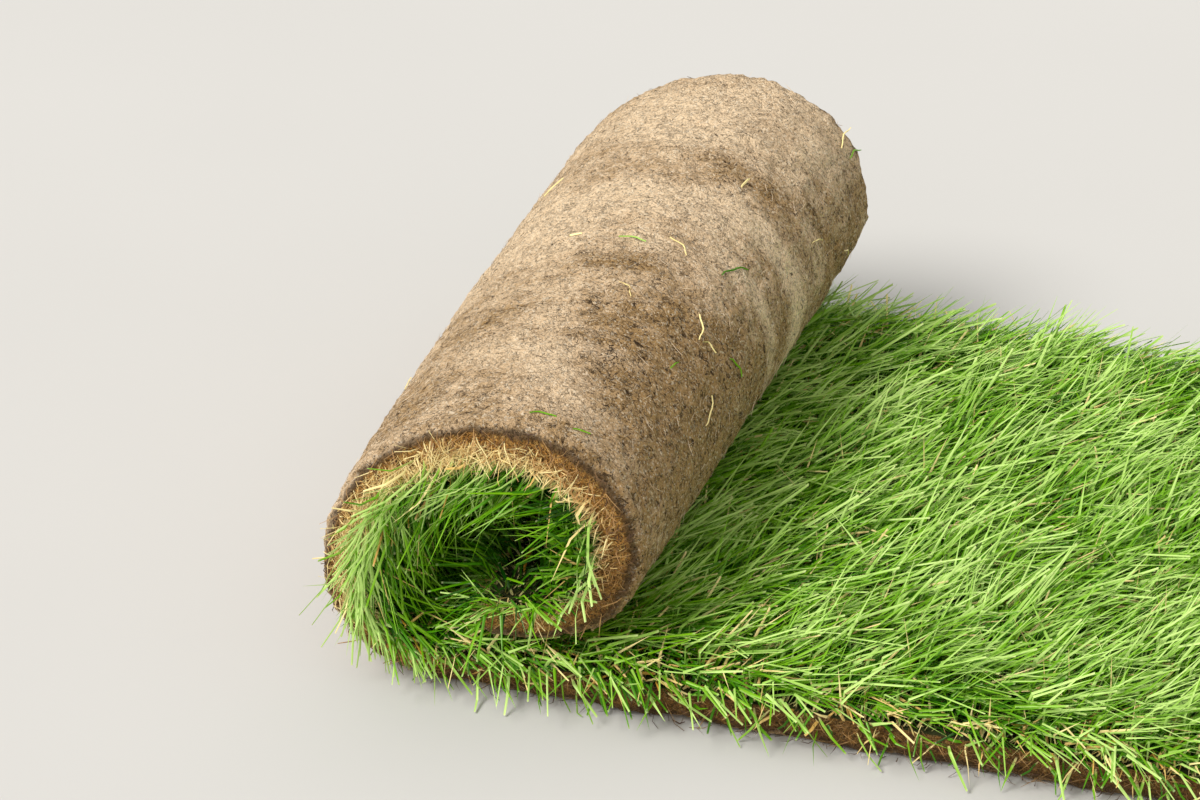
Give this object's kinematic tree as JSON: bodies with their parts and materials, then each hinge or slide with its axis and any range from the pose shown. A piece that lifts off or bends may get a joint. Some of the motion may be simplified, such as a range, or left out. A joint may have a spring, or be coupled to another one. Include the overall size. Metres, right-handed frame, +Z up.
{
  "type": "roll of turf",
  "caption": "Strip of lawn turf, partly laid out grass up and partly still rolled, soil side out, with a hollow roll end.",
  "frame": {"origin": "middle of the whole object's footprint, on the flat underside", "axes": "+X along the strip from the roll to the laid cut end, +Y along the roll from its near end to its far end, +Z up from the underside"},
  "size_m": [0.8524, 0.42, 0.1907],
  "materials": {
    "soil": "matte dry soil bound with roots and thatch",
    "grass": "matte to satin leaf blades"
  },
  "bodies": {
    "root": {"root_mat": "soil", "grass": "grass"}
  },
  "joints": []
}
